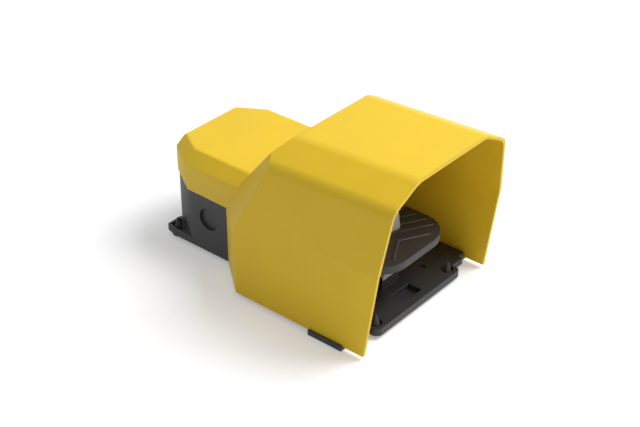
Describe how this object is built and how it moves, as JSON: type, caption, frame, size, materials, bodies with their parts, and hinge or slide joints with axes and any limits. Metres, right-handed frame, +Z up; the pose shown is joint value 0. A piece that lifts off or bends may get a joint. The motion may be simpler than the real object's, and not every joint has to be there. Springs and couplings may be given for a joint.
{
  "type": "foot switch",
  "caption": "Guarded industrial foot switch: box-shaped hood over a hinged pedal with a toe release lever, and a switch box with contact block behind it.",
  "frame": {"origin": "floor level, at the middle of the fixing hole pattern, which is also the middle of the outline", "axes": "+X to the right seen from the operator, +Y from the foot opening to the switch box, +Z up; the foot enters from -Y"},
  "size_m": [0.1696, 0.26, 0.151],
  "materials": {
    "housing_black": "fine spark texture",
    "cover_yellow": "satin, fine grain",
    "seal_rubber": "matte",
    "screw_steel": "zinc plated",
    "pin_steel": "ground",
    "spring_steel": "drawn wire",
    "pedal_black": "fine spark texture",
    "lever_grey": "satin light grey",
    "plunger_white": "satin",
    "block_grey": "satin",
    "contact_brass": "plain",
    "foot_rubber": "matte"
  },
  "bodies": {
    "base": {"base_housing": "housing_black", "guard_cover": "cover_yellow", "cover_gasket": "seal_rubber", "cover_screws": "screw_steel", "pedal_pin": "pin_steel", "pin_rings": "pin_steel", "pedal_springs": "spring_steel", "plunger_seal": "seal_rubber", "contact_block": "block_grey", "carrier_spring": "spring_steel", "fixed_contacts": "contact_brass", "terminal_screws": "screw_steel", "terminal_washers": "screw_steel", "block_screws": "screw_steel", "rubber_feet": "foot_rubber"},
    "pedal_arm": {"pedal": "pedal_black", "lever_pin": "pin_steel", "lever_spring": "spring_steel"},
    "lever": {"toe_lever": "lever_grey"},
    "switch_rod": {"plunger": "plunger_white", "contact_carrier": "plunger_white", "contact_bridges": "contact_brass", "bridge_springs": "spring_steel"}
  },
  "joints": [
    {"name": "pedal_hinge", "type": "hinge", "parent": "base", "child": "pedal_arm", "pos_m": [0, 0.008, 0.0295], "axis": [1, 0, 0], "range_deg": [0, 7], "stiffness_Nm_per_rad": 8, "springref_deg": -10.31, "deforming": ["pedal_springs", "carrier_spring"]},
    {"name": "toe_lever_hinge", "type": "hinge", "parent": "pedal_arm", "child": "lever", "pos_m": [0, -0.075, 0.0445], "axis": [-1, 0, 0], "range_deg": [0, 30]},
    {"name": "plunger_slide", "type": "slide", "parent": "base", "child": "switch_rod", "axis": [0, 0, 1], "range_m": [0, 0.0042]}
  ],
  "couplings": [
    {"joint": "toe_lever_hinge", "follows": "pedal_hinge", "ratio": 4.28},
    {"joint": "plunger_slide", "follows": "pedal_hinge", "m_per_rad": 0.034}
  ]
}
